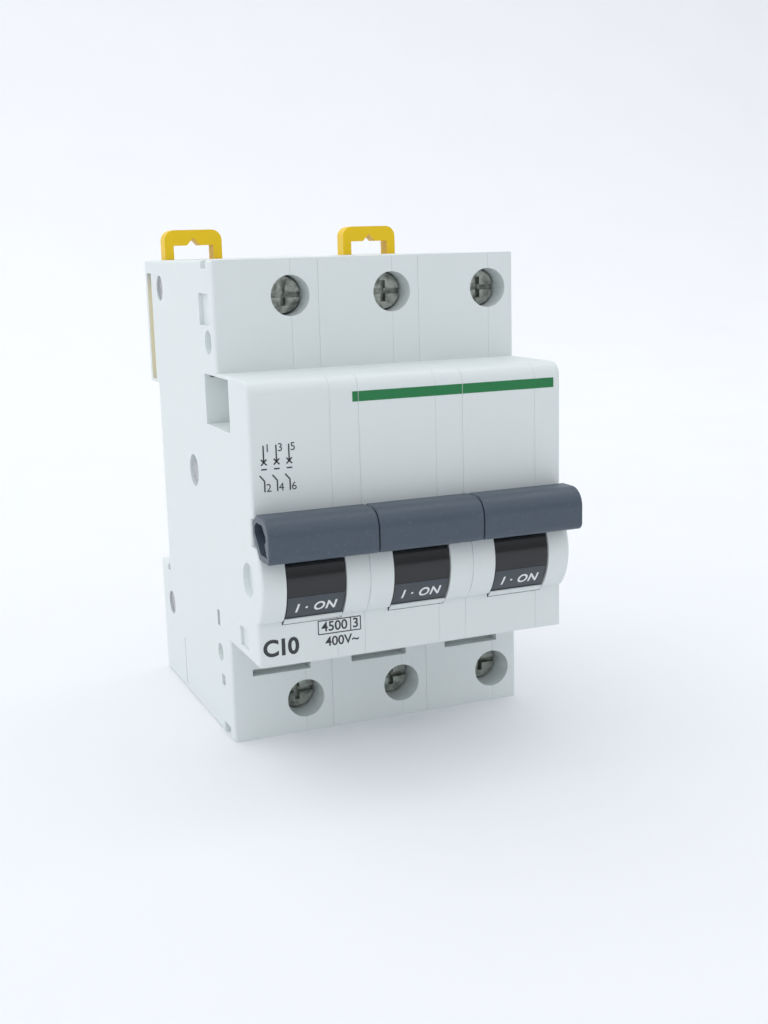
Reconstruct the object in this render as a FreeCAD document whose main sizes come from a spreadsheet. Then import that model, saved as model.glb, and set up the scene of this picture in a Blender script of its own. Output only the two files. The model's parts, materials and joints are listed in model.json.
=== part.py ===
"""Three-pole modular circuit breaker, built as its separate pieces.

Frame: +Z up, front towards -Y, origin at the middle of the bounding box's underside.
Depths are measured forwards from the rear face, so a depth of D lies at y = rear - D.
Each pole is one module wide and holds the same pieces: a case and a cover that make its
shell, a toggle, a handle cover, two screw terminals, and the tripping mechanism.
"""

import FreeCAD, Part
import Sketcher
import os
import re

V = FreeCAD.Vector
POLES = (1, 2, 3)

# name: (size in millimetres, or an angle in degrees, what it is)
DIMENSIONS = {
    "pole_pitch": (18, "width of one module"),
    "case_height": (81, "height of the shell"),
    "rear": (36, "y of the rear face"),
    "block_depth": (48, "front of the terminal blocks"),
    "nose_depth": (64.5, "front of the nose"),
    "nose_low": (18, "underside of the nose"),
    "nose_high": (63, "top of the nose"),
    "nose_round": (2.2, "rounding of the nose's upper front edge"),
    "plate_top": (25.4, "top of the lower label plate"),
    "bulge_top": (37.5, "top of the round toggle housing"),
    "band_top": (42, "top of the recess behind the handle"),
    "band_depth": (63.3, "floor of the recess behind the handle"),
    "bulge_radius": (9, "toggle housing, about the toggle's axis"),
    "pivot_depth": (58.7, "toggle axis"),
    "pivot_height": (31.6, "toggle axis"),
    "rail_recess": (6.5, "depth of the recess for the mounting rail"),
    "rail_low": (22.6, "lower edge of the rail recess"),
    "rail_high": (58, "upper edge of the rail recess"),
    "hook_reach": (1.3, "undercut that takes the rail's lower flange"),
    "hook_gap": (1.2, "thickness that the undercut takes"),
    "hook_relief": (0.6, "step from the rail's seat down to the undercut's floor"),
    "side_wall": (1, "side walls of the shell"),
    "edge_wall": (1.2, "walls around the rim of the shell"),
    "outer_round": (0.5, "rounded rim at the two ends of the breaker"),
    "seam_round": (0.15, "broken rim where two modules meet"),
    "joint_round": (0.12, "broken rim where a case meets its cover"),
    "rim_least": (3, "shortest edge of a rim that is rounded"),
    "split": (13.2, "joint of case and cover, from the module's left face"),
    "housing_wall": (6.7, "hollow's wall behind the toggle's axis"),
    "link_room": (4.5, "height above the toggle's axis where that wall gives way to the link"),
    "chute_left": (5.5, "thick part of the case's side beside its upper front opening"),
    "slot_left": (3.7, "label slot under the nose"),
    "slot_right": (14.1, "label slot under the nose"),
    "slot_low": (11.3, "label slot under the nose"),
    "slot_high": (12.5, "label slot under the nose"),
    "slot_deep": (2.5, "label slot under the nose"),
    "window_left": (4, "toggle window"),
    "window_right": (14, "toggle window"),
    "window_radius": (9.1, "toggle window, about the toggle's axis"),
    "drum_radius": (8.7, "toggle drum"),
    "drum_play": (0.2, "side clearance of the toggle drum"),
    "toggle_pin_radius": (1.25, "toggle axle"),
    "spring_left": (11.2, "room for the toggle's spring, from the module's left face"),
    "spring_room": (3.5, "radius of that room"),
    "spring_radius": (2.3, "coils of the toggle's spring"),
    "spring_wire": (0.35, "wire of the toggle's spring"),
    "spring_pitch": (0.75, "from one coil of that spring to the next"),
    "spring_first": (11.8, "first coil of the toggle's spring, from the module's left face"),
    "spring_leg": (0.5, "leg that joins a spring's coils"),
    "leg_overhang": (0.2, "leg of the toggle's spring beyond its outer coils"),
    "axle_seat": (2, "how far the toggle's axle reaches into each side"),
    "running_play": (0.05, "radial clearance of a turning fit"),
    "neck_angle": (40, "direction of the toggle's neck above the horizontal"),
    "neck_reach": (12.4, "end of the neck from the toggle's axis"),
    "neck_width": (3.4, "thickness of the neck"),
    "neck_left": (5, "neck of the toggle"),
    "neck_right": (13, "neck of the toggle"),
    "handle_depth": (72, "front of the handle"),
    "handle_top": (42.9, "top of the handle"),
    "handle_low": (36, "underside of the handle"),
    "handle_rear": (64, "rear of the handle"),
    "handle_round": (3, "rounded upper front edge of the handle"),
    "handle_chin": (1.2, "rounding of the grip's lower front edge"),
    "handle_clear": (9.4, "hollow rear of the handle, about the toggle's axis"),
    "handle_wall": (1.1, "wall of the hollow handle"),
    "handle_gap": (0.06, "half the gap between two handle covers"),
    "handle_edge": (0.3, "broken ends of a handle cover"),
    "tie_radius": (1, "rod that ties the handle covers"),
    "tie_inset": (1.2, "ends of the tie rod inside the handle's ends"),
    "tie_depth": (67.6, "tie rod"),
    "tie_height": (39.07, "tie rod"),
    "crank_radius": (5, "link hole in the toggle, from its axis"),
    "crank_angle": (32, "link hole below the horizontal when closed"),
    "arm_depth": (40, "contact arm's pivot"),
    "arm_height": (40, "contact arm's pivot"),
    "arm_left": (5.5, "contact arm, from the module's left face"),
    "arm_thick": (2, "contact arm"),
    "arm_tail": (11.7, "link hole in the contact arm, forwards of its pivot"),
    "arm_pin_radius": (1.5, "pivots of the contact arm and of the trip lever"),
    "pivot_pin_length": (8, "pivots of the contact arm and of the trip lever"),
    "link_pin_radius": (0.6, "cross pins of the link"),
    "link_width": (1.6, "link across"),
    "link_left": (8.3, "link, from the module's left face"),
    "link_right": (9.7, "link, from the module's left face"),
    "link_play": (0.2, "side clearance of the link in the toggle's slot"),
    "link_slot_start": (2.2, "slot for the link, behind the toggle's axis"),
    "link_slot_low": (6, "slot for the link, below the toggle's axis"),
    "link_slot_high": (8, "slot for the link, above the toggle's axis"),
    "crank_pin_left": (6.4, "link's pin in the toggle, from the module's left face"),
    "crank_pin_right": (11.6, "link's pin in the toggle, from the module's left face"),
    "crank_play": (0.1, "clearance at each end of that pin"),
    "tail_hole": (1.35, "wide hole in the contact arm that lets the link run on"),
    "tail_hole_back": (0.6, "centre of the tail's hole behind the link's pin"),
    "tail_hole_up": (0.1, "centre of the tail's hole above the link's pin"),
    "lever_depth": (45, "trip lever's pivot"),
    "lever_height": (46, "trip lever's pivot"),
    "lever_left": (10.5, "trip lever, from the module's left face"),
    "lever_thick": (2, "trip lever"),
    "lever_boss": (2.6, "boss of the trip lever around its pivot"),
    "coil_depth": (21.2, "axis of the magnetic coil"),
    "coil_radius": (5.4, "outside of the winding"),
    "coil_bore": (3.1, "inside of the winding"),
    "coil_low": (44.1, "lowest turn"),
    "coil_turns": (7, "turns of the coil"),
    "wire_pitch": (1.8, "thickness of one turn"),
    "yoke_thick": (1.3, "steel frame around the coil"),
    "yoke_width": (10, "steel frame across"),
    "yoke_front": (5.3, "front of the steel frame, from the coil's axis"),
    "yoke_rear": (6.3, "rear plate of the steel frame, from the coil's axis"),
    "yoke_gap": (0.2, "between the winding and the steel frame"),
    "core_radius": (2.9, "fixed core and plunger"),
    "core_high": (5.4, "height of the fixed core with the plate under it"),
    "plunger_low": (53, "underside of the plunger"),
    "plunger_high": (6.2, "height of the plunger"),
    "pin_radius": (0.8, "striker pin of the plunger"),
    "pin_low": (40.2, "lower end of the striker pin"),
    "return_low": (48.4, "lowest coil of the plunger's spring"),
    "return_radius": (1.9, "coils of the plunger's spring"),
    "return_wire": (0.3, "wire of the plunger's spring"),
    "return_pitch": (1.27, "from one coil of that spring to the next"),
    "plates": (8, "plates of an arc chute"),
    "plate_low": (12.2, "lowest plate of an arc chute"),
    "plate_pitch": (1.75, "from one plate to the next"),
    "plate_thick": (1, "plates of an arc chute"),
    "plate_left": (3, "plates, from the module's left face"),
    "plate_width": (12, "plates across"),
    "plate_front": (12, "y of the plates' front edges"),
    "plate_deep": (13, "plates along y"),
    "plate_notch": (2, "notch in a plate, across"),
    "notch_deep": (5, "notch in a plate, along y"),
    "screw_x": (13.1, "terminal screw, from the module's left face"),
    "screw_rise": (6, "terminal screw, from the nearer end face"),
    "access_radius": (3.35, "screwdriver hole"),
    "head_radius": (3, "terminal screw head"),
    "head_thick": (2, "terminal screw head"),
    "screw_radius": (2, "M4 terminal screw"),
    "upper_head_depth": (4, "how far an upper screw head lies inside its hole"),
    "lower_head_depth": (5, "how far a lower screw head lies inside its hole"),
    "shank_length": (11.9, "from under the head to the tip"),
    "tip_gap": (0.1, "between a screw's tip and its copper strip"),
    "drive_width": (0.9, "slot and cross of a screw head"),
    "slot_depth": (1, "slot of a screw head"),
    "cross_depth": (1.3, "upright of a screw head's cross"),
    "cross_reach": (1.8, "upright of a screw head's cross, from the axis"),
    "cage_width": (7.2, "terminal cage across"),
    "cage_deep": (8.5, "terminal cage along the wire"),
    "cage_wall": (0.8, "sides of the terminal cage"),
    "cage_nut": (2.4, "threaded wall of the terminal cage"),
    "cage_floor": (1.4, "clamping wall of the terminal cage"),
    "cage_length": (14.2, "terminal cage along the screw"),
    "cage_stand_off": (6, "cage behind the screw head when it is open"),
    "cage_travel": (4.9, "travel of the cage"),
    "strip_thick": (1.2, "copper strips"),
    "wire_hole_radius": (2.7, "wire entry"),
    "strip_left": (10.6, "copper strips at the terminals, from the module's left face"),
    "strip_width": (5.2, "copper strips at the terminals"),
    "line_low": (66, "line strip's tongue"),
    "line_tongue": (13, "line strip's tongue along z"),
    "line_foot": (60, "line strip's foot"),
    "line_left": (7, "line strip's foot, from the module's left face"),
    "line_step": (7, "line strip's foot along z"),
    "tab_width": (4, "narrow ends of the copper strips"),
    "tab_deep": (6, "narrow ends of the copper strips"),
    "fixed_left": (4.5, "fixed contact, from the module's left face"),
    "fixed_low": (25, "fixed contact"),
    "fixed_tall": (15, "fixed contact along z"),
    "load_low": (2, "load strip's tongue"),
    "load_tongue": (12, "load strip's tongue along z"),
    "bimetal_left": (11, "bimetal, from the module's left face"),
    "bimetal_y": (-3.6, "front of the bimetal"),
    "bimetal_low": (14, "foot of the bimetal"),
    "bimetal_tall": (22, "bimetal along z"),
    "bimetal_thick": (1, "bimetal"),
    "load_gap": (0.1, "load strip in front of the bimetal"),
    "lead_radius": (0.55, "flexible lead"),
    "lead_foot_x": (11.6, "flexible lead at the bimetal, from the module's left face"),
    "lead_foot_y": (-4.2, "flexible lead at the bimetal"),
    "lead_foot_z": (30, "flexible lead at the bimetal"),
    "lead_bend_x": (9.8, "middle of the flexible lead, from the module's left face"),
    "lead_bend_y": (-8, "middle of the flexible lead"),
    "lead_bend_z": (32.5, "middle of the flexible lead"),
    "lead_end_x": (8.6, "flexible lead at the contact arm, from the module's left face"),
    "lead_end_y": (-5.6, "flexible lead at the contact arm"),
    "lead_end_z": (35.8, "flexible lead at the contact arm"),
    "rivet_radius": (1.25, "rivet shank"),
    "rivet_boss": (3.2, "boss around a rivet"),
    "rivet_head": (1.9, "rivet head"),
    "rivet_head_thick": (0.6, "rivet head"),
    "rivet_inset": (0.3, "ends of a rivet inside the breaker's sides"),
    "recess_depth": (1, "round recess over a rivet"),
    "clip_rear": (1.9, "rear of the rail clip"),
    "clip_thick": (3.3, "rail clip"),
    "clip_play": (0.15, "clearance of the rail clip in its channel"),
    "clip_top": (86.5, "top of the rail clip's pull tab"),
    "clip_leg": (1.7, "legs of the pull tab"),
    "clip_left": (3, "pull tab"),
    "clip_right": (14.1, "pull tab"),
    "loop_low": (78.5, "opening of the pull tab"),
    "loop_high": (83.6, "opening of the pull tab"),
    "notch_high": (85, "notch in the middle of the opening's upper edge"),
    "notch_half": (1.3, "half the width of that notch"),
    "clip_catch": (55.4, "lower edge of the rail clip's catch"),
    "clip_slot_low": (58.7, "slot beside a clip in the case's side"),
    "clip_slot_high": (78.6, "slot beside a clip in the case's side"),
    "clip_body_top": (76.5, "top of the clip's slider"),
    "clip_round": (2, "outer corners of the pull tab"),
}

doc = FreeCAD.newDocument("CircuitBreaker")
sheet = doc.addObject("Spreadsheet::Sheet", "Sizes")
for row, (name, (size, note)) in enumerate(DIMENSIONS.items(), 1):
    sheet.set(f"A{row}", name)
    sheet.set(f"B{row}", str(size))
    sheet.set(f"C{row}", note)
    sheet.setAlias(f"B{row}", name)
doc.recompute()

made = []


def value(text):
    """The number that a formula of the sheet's names stands for."""
    return float(sheet.evalExpression(str(text)))


def bound(text):
    """The same formula, with each of the sheet's names written as a reference to the sheet."""
    def reference(word):
        return "Sizes." + word[0] if word[0] in DIMENSIONS else word[0]

    return re.sub(r"[a-z][a-z_]+", reference, str(text))


def bind(thing, **formulas):
    for field, text in formulas.items():
        thing.setExpression(field.replace("__", "."), bound(text))


def left_of(pole):
    """x of a module's left face."""
    return f"({pole} - 2.5) * pole_pitch"


def keep(thing, label):
    """Marks a finished sub-part and gives it the name of its file."""
    thing.Label = label
    made.append(thing)
    return thing


# ---------------------------------------------------------------- primitives and booleans


def place(thing, x, y, z):
    bind(thing, Placement__Base__x=x, Placement__Base__y=y, Placement__Base__z=z)
    return thing


def block(x, y, z, width, depth, height):
    """A box from its low corner."""
    thing = doc.addObject("Part::Box", "Block")
    bind(thing, Length=width, Width=depth, Height=height)
    return place(thing, x, y, z)


# turns from +z to each axis
TURNS = {
    "x": FreeCAD.Rotation(V(0, 1, 0), 90),
    "y": FreeCAD.Rotation(V(1, 0, 0), -90),
    "z": FreeCAD.Rotation(),
}


def rod(axis, x, y, z, radius, length):
    """A cylinder that starts at a point and runs along +x, +y or +z."""
    thing = doc.addObject("Part::Cylinder", "Rod")
    thing.Placement = FreeCAD.Placement(V(), TURNS[axis])
    bind(thing, Radius=radius, Height=length)
    return place(thing, x, y, z)


def ring(axis, x, y, z, radius, wire):
    """One turn of wire about an axis."""
    thing = doc.addObject("Part::Torus", "Ring")
    thing.Placement = FreeCAD.Placement(V(), TURNS[axis])
    bind(thing, Radius1=radius, Radius2=wire)
    return place(thing, x, y, z)


def join(*things):
    thing = doc.addObject("Part::MultiFuse", "Join")
    thing.Shapes = list(things)
    thing.Refine = True
    return thing


def group(*things):
    """Separate solids that share one file."""
    thing = doc.addObject("Part::Compound", "Group")
    thing.Links = list(things)
    return thing


def cut(base, *tools):
    thing = doc.addObject("Part::Cut", "Cut")
    thing.Base = base
    thing.Tool = join(*tools) if len(tools) > 1 else tools[0]
    return thing


# ---------------------------------------------------------------- bodies and their sketches

# the role of the plane across each axis, and the way that its normal points along that axis
PLANES = {"x": ("YZ_Plane", 1), "y": ("XZ_Plane", -1), "z": ("XY_Plane", 1)}


def body(pole=2):
    """A body whose x is measured from its module's left face."""
    thing = doc.addObject("PartDesign::Body", "Body")
    bind(thing, Placement__Base__x=left_of(pole))
    return thing


def draw_circle(sketch, u, v, radius):
    arc = sketch.addGeometry(Part.Circle(V(value(u), value(v), 0), V(0, 0, 1), value(radius)))
    hold(sketch, "Radius", radius, arc)
    hold(sketch, "DistanceX", u, -1, 1, arc, 3)
    hold(sketch, "DistanceY", v, -1, 1, arc, 3)


def hold(sketch, kind, text, *where):
    """A dimension of the sketch that follows a formula. Its name is unique in the sketch."""
    size = value(text)
    if kind != "Radius" and size == 0:
        size = 0.0
    index = sketch.addConstraint(Sketcher.Constraint(kind, *where, size))
    sketch.renameConstraint(index, f"size{index}")
    sketch.setExpression(f"Constraints.size{index}", bound(text))


def draw_outline(sketch, points, arcs):
    """A closed outline of lines, with arcs from the points that arcs names. An arc has a radius,
    and turns clockwise about a centre on the right of its chord."""
    ends = [V(value(u), value(v), 0) for u, v in points]
    count = len(ends)
    first_end, last_end = {}, {}
    for i in range(count):
        a, b = ends[i], ends[(i + 1) % count]
        if i in arcs:
            radius = value(arcs[i])
            chord = b - a
            middle = (a + b) * 0.5
            side = V(chord.y, -chord.x, 0).normalize()
            centre = middle + side * max(radius ** 2 - (chord.Length / 2) ** 2, 0) ** 0.5
            whole = Part.Circle(centre, V(0, 0, 1), radius)
            edge = sketch.addGeometry(Part.ArcOfCircle(whole, whole.parameter(b), whole.parameter(a)))
            first_end[i], last_end[i] = (edge, 2), (edge, 1)
            hold(sketch, "Radius", arcs[i], edge)
        else:
            edge = sketch.addGeometry(Part.LineSegment(a, b))
            first_end[i], last_end[i] = (edge, 1), (edge, 2)
    for i in range(count):
        sketch.addConstraint(Sketcher.Constraint("Coincident", *last_end[i], *first_end[(i + 1) % count]))
    for i, (u, v) in enumerate(points):
        hold(sketch, "DistanceX", u, -1, 1, *first_end[i])
        hold(sketch, "DistanceY", v, -1, 1, *first_end[i])


def sketch_on(thing, axis, at, outline=None, arcs=None, circles=()):
    role, sign = PLANES[axis]
    plane = next(f for f in thing.Origin.OriginFeatures if f.Role == role)
    sketch = thing.newObject("Sketcher::SketchObject", "Sketch")
    sketch.AttachmentSupport = (plane, [""])
    sketch.MapMode = "FlatFace"
    bind(sketch, AttachmentOffset__Base__z=f"{sign} * ({at})")
    for circle in circles:
        draw_circle(sketch, *circle)
    if outline:
        draw_outline(sketch, outline, arcs or {})
    return sketch


def add(thing, axis, low, high, **shape):
    """Material between two places along an axis. A pad grows the way its plane's normal points."""
    pad_from = low if PLANES[axis][1] > 0 else high
    sketch = sketch_on(thing, axis, pad_from, **shape)
    pad = thing.newObject("PartDesign::Pad", "Pad")
    pad.Profile = sketch
    bind(pad, Length=f"({high}) - ({low})")
    return pad


def remove(thing, axis, low, high, **shape):
    """An opening between two places along an axis. A pocket runs against its plane's normal."""
    pocket_from = high if PLANES[axis][1] > 0 else low
    sketch = sketch_on(thing, axis, pocket_from, **shape)
    pocket = thing.newObject("PartDesign::Pocket", "Pocket")
    pocket.Profile = sketch
    bind(pocket, Length=f"({high}) - ({low})")
    return pocket


def rectangle(low_u, high_u, low_v, high_v):
    return [(low_u, low_v), (low_u, high_v), (high_u, high_v), (high_u, low_v)]


def round_rim(thing, x, radius, shortest):
    """Rounds the edges of a prism that lie in its end face at x, apart from its shortest ones."""
    doc.recompute()
    tip = thing.Tip
    names = [
        f"Edge{n}"
        for n, edge in enumerate(tip.Shape.Edges, 1)
        if abs(edge.BoundBox.XMin - value(x)) < 1e-4 and abs(edge.BoundBox.XMax - value(x)) < 1e-4
        and edge.Length > shortest
    ]
    fillet = thing.newObject("PartDesign::Fillet", "Fillet")
    fillet.Base = (tip, names)
    bind(fillet, Radius=radius)


# ---------------------------------------------------------------- the shells of a module

FRONT = "rear - block_depth"
NOSE = "rear - nose_depth"
BAND = "rear - band_depth"
PIVOT_Y = "rear - pivot_depth"
PIVOT_Z = "pivot_height"

# y, z and the radius of the round recess over each rivet
RIVETS = (("rear - 11.7", "76", 2.3), ("rear - 30.2", "44.7", 2.85), ("rear - 7", "15", 2.3))

# openings in the left side of a case: from y, to y, from z, to z, depth
CHUTE = ("rear - 54.5", "rear - 40.6", "54.1", "62.5", "chute_left - side_wall")
SIDE_OPENINGS = (
    CHUTE,
    ("rear - 45.2", "rear - 39.3", "70.5", "75.7", "0.7"),
    ("rear - 44.5", "rear - 41.5", "79.7", "case_height", "side_wall"),
    ("rear - 42.2", "rear - 40.8", "19.2", "22", "side_wall"),
    ("rear - 43.7", "rear - 41.7", "8.7", "10.7", "side_wall"),
    ("rear - 59.3", "rear - 54.7", "19.4", "22.7", "0.5"),
    ("rear - 45.7", "rear - 42", "0", "2.1", "side_wall"),
    ("rear - 16", "rear - 15.5", "1", "10", "0.25"),
)

# round recesses that take a coupled accessory's pins: y, z, radius
COUPLING_RECESSES = (
    ("rear - 60.6", "31.5", "2.8"),
    ("rear - 44", "67.8", "2"),
    ("rear - 41.7", "14.5", "1.6"),
)


def bulge_front(height):
    """y of the round toggle housing at a height."""
    return f"{PIVOT_Y} - sqrt(bulge_radius ^ 2 - ({height} - pivot_height) ^ 2)"


def shell_outline():
    points = [
        ("rear", "0"),
        (FRONT, "0"),
        (FRONT, "nose_low"),
        (NOSE, "nose_low"),
        (NOSE, "plate_top"),
        (bulge_front("plate_top"), "plate_top"),
        (bulge_front("bulge_top"), "bulge_top"),
        (BAND, "bulge_top"),
        (BAND, "band_top"),
        (NOSE, "band_top"),
        (NOSE, "nose_high - nose_round"),
        (f"{NOSE} + nose_round", "nose_high"),
        (FRONT, "nose_high"),
        (FRONT, "case_height"),
        ("rear", "case_height"),
        ("rear", "rail_high"),
        ("rear - rail_recess", "rail_high"),
        ("rear - rail_recess", "rail_low"),
        ("rear - rail_recess - hook_relief", "rail_low"),
        ("rear - rail_recess - hook_relief", "rail_low - hook_reach"),
        ("rear - rail_recess + hook_gap", "rail_low - hook_reach"),
        ("rear - rail_recess + hook_gap", "rail_low"),
        ("rear", "rail_low"),
    ]
    return points, {5: "bulge_radius", 10: "nose_round"}


def cage_front(head_depth):
    """y of an open terminal cage's threaded wall."""
    return f"{FRONT} + {head_depth} + head_thick + cage_stand_off"


def hollow_outline():
    """The hollow of a module. It stays behind the toggle's housing and the screwdriver holes."""
    lower = f"{cage_front('lower_head_depth')} - cage_travel - 0.3"
    upper = f"{cage_front('upper_head_depth')} - cage_travel - 0.3"
    back = "rear - rail_recess - edge_wall"
    return [
        (back, "edge_wall"),
        (lower, "edge_wall"),
        (lower, "nose_low + edge_wall"),
        (f"{PIVOT_Y} + housing_wall", "nose_low + edge_wall"),
        (f"{PIVOT_Y} + housing_wall", "pivot_height + link_room"),
        (f"{PIVOT_Y} + housing_wall - 4", "pivot_height + link_room + 4"),
        (f"{PIVOT_Y} + housing_wall - 4", "band_top + edge_wall"),
        (f"{NOSE} + edge_wall", "band_top + edge_wall"),
        (f"{NOSE} + edge_wall", "nose_high - edge_wall"),
        (upper, "nose_high - edge_wall"),
        (upper, "case_height - edge_wall"),
        (back, "case_height - edge_wall"),
    ]


def shell(pole, name, low, high, outer, rim):
    """A case or a cover, from x = low to high. outer is its closed side, and rim that side's rounding."""
    thing = body(pole)
    points, arcs = shell_outline()
    add(thing, "x", low, high, outline=points, arcs=arcs)
    is_case = outer == low
    round_rim(thing, outer, rim, value("rim_least"))
    round_rim(thing, high if is_case else low, "joint_round", value("rim_least"))
    hollow_low = f"{low} + side_wall" if is_case else low
    hollow_high = high if is_case else f"{high} - side_wall"
    remove(thing, "x", hollow_low, hollow_high, outline=hollow_outline())
    add(thing, "x", hollow_low, hollow_high, circles=[(y, z, "rivet_boss") for y, z, _ in RIVETS])
    if is_case:
        add(thing, "x", "side_wall", "chute_left",
            outline=rectangle(f"{CHUTE[0]} - 1", f"{CHUTE[1]} + 1", f"{CHUTE[2]} - 1",
                              "nose_high - edge_wall"))

    window_low = "window_left" if is_case else low
    window_high = high if is_case else "window_right"
    remove(thing, "x", window_low, window_high, circles=[(PIVOT_Y, PIVOT_Z, "window_radius")])
    pin_low = "window_left - axle_seat" if is_case else "window_right"
    pin_high = "window_left" if is_case else "window_right + axle_seat"
    remove(thing, "x", pin_low, pin_high, circles=[(PIVOT_Y, PIVOT_Z, "toggle_pin_radius")])
    remove(thing, "x", low, high, circles=[(y, z, "rivet_radius + running_play") for y, z, _ in RIVETS])
    recess_low = low if is_case else f"{high} - recess_depth"
    recess_high = f"{low} + recess_depth" if is_case else high
    remove(thing, "x", recess_low, recess_high, circles=RIVETS)

    for at_top in (True, False):
        terminal_openings(thing, at_top)
    slot_from = "slot_left" if is_case else low
    slot_to = high if is_case else "slot_right"
    remove(thing, "y", FRONT, f"{FRONT} + slot_deep",
           outline=rectangle(slot_from, slot_to, "slot_low", "slot_high"))
    clip_channel(thing, hollow_low, hollow_high, is_case)
    if is_case:
        side_marks(thing)
    return keep(thing, f"{name}_{pole}")


def terminal_openings(thing, at_top):
    """The screwdriver hole of a terminal, and its wire entry with a countersunk mouth."""
    head_depth = "upper_head_depth" if at_top else "lower_head_depth"
    screw_z = "case_height - screw_rise" if at_top else "screw_rise"
    hole_end = f"{cage_front(head_depth)} - cage_travel + 0.2"
    remove(thing, "y", FRONT, hole_end, circles=[("screw_x", screw_z, "access_radius")])
    wire_y = wire_centre(head_depth)
    low = "case_height - edge_wall - 0.5" if at_top else "0"
    high = "case_height" if at_top else "edge_wall + 0.5"
    remove(thing, "z", low, high, circles=[("screw_x", wire_y, "wire_hole_radius")])


def strip_rear(head_depth):
    """y of the rear of the copper strip that a screw's tip bears on."""
    return f"{FRONT} + {head_depth} + head_thick + shank_length + tip_gap + strip_thick"


def wire_centre(head_depth):
    cage_rear = f"{cage_front(head_depth)} + cage_length - cage_floor"
    return f"({strip_rear(head_depth)} + {cage_rear}) / 2"


def clip_channel(thing, hollow_low, hollow_high, is_case):
    """The rear channel that a rail clip slides in, its mouths, and the slot in the case's side."""
    near = "rear - clip_rear - clip_thick - clip_play"
    far = "rear - clip_rear + clip_play"
    remove(thing, "x", hollow_low, hollow_high,
           outline=rectangle(near, far, "rail_high - 0.1", "case_height - 1"))
    mouth_low = "clip_left - clip_play" if is_case else hollow_low
    mouth_high = hollow_high if is_case else "clip_right + clip_play"
    remove(thing, "z", "case_height - 1.2", "case_height",
           outline=rectangle(mouth_low, mouth_high, near, far))
    if is_case:
        remove(thing, "x", "0", "side_wall",
               outline=rectangle(f"{near} + clip_play", f"{far} - clip_play", "clip_slot_low",
                                 "clip_slot_high"))


def side_marks(thing):
    """Openings and coupling recesses in the left side of a case."""
    for low_y, high_y, low_z, high_z, deep in SIDE_OPENINGS:
        remove(thing, "x", "0", deep, outline=rectangle(low_y, high_y, low_z, high_z))
    remove(thing, "x", "0", "recess_depth", circles=COUPLING_RECESSES)


def make_shells(pole):
    case_rim = "outer_round" if pole == POLES[0] else "seam_round"
    cover_rim = "outer_round" if pole == POLES[-1] else "seam_round"
    shell(pole, "case", "0", "split", "0", case_rim)
    shell(pole, "cover", "split", "pole_pitch", "pole_pitch", cover_rim)


# ---------------------------------------------------------------- handle and toggle


def make_toggle(pole):
    """The drum and neck, with its axle bore, the slot for the link and the recess for its spring."""
    left = left_of(pole)
    drum = rod("x", f"{left} + window_left + drum_play", PIVOT_Y, PIVOT_Z, "drum_radius",
               "window_right - window_left - 2 * drum_play")
    neck = doc.addObject("Part::Box", "Neck")
    neck.Placement = FreeCAD.Placement(V(), FreeCAD.Rotation(V(-1, 0, 0), value("neck_angle")))
    bind(neck, Length="neck_right - neck_left", Width="neck_reach - 5", Height="neck_width",
         Placement__Rotation__Angle="neck_angle")
    place(neck, f"{left} + neck_left",
          f"{PIVOT_Y} - neck_reach * cos(neck_angle) - neck_width / 2 * sin(neck_angle)",
          f"{PIVOT_Z} + neck_reach * sin(neck_angle) - neck_width / 2 * cos(neck_angle)")
    axle = rod("x", f"{left} + window_left", PIVOT_Y, PIVOT_Z, "toggle_pin_radius + running_play",
               "window_right - window_left")
    spring_room = rod("x", f"{left} + spring_left", PIVOT_Y, PIVOT_Z, "spring_room",
                      "window_right - spring_left")
    link_slot = block(f"{left} + link_left - link_play", f"{PIVOT_Y} + link_slot_start",
                      f"{PIVOT_Z} - link_slot_low", "link_right - link_left + 2 * link_play",
                      "drum_radius", "link_slot_low + link_slot_high")
    crank = rod("x", f"{left} + crank_pin_left - crank_play", crank_y(), crank_z(),
                "link_pin_radius + running_play", "crank_pin_right - crank_pin_left + 2 * crank_play")
    tie = rod("x", f"{left} + neck_left", "rear - tie_depth", "tie_height", "tie_radius",
              "neck_right - neck_left")
    keep(cut(join(drum, neck), axle, spring_room, link_slot, crank, tie), f"toggle_{pole}")


def crank_y():
    return f"{PIVOT_Y} + crank_radius * cos(crank_angle)"


def crank_z():
    return f"{PIVOT_Z} - crank_radius * sin(crank_angle)"


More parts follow.
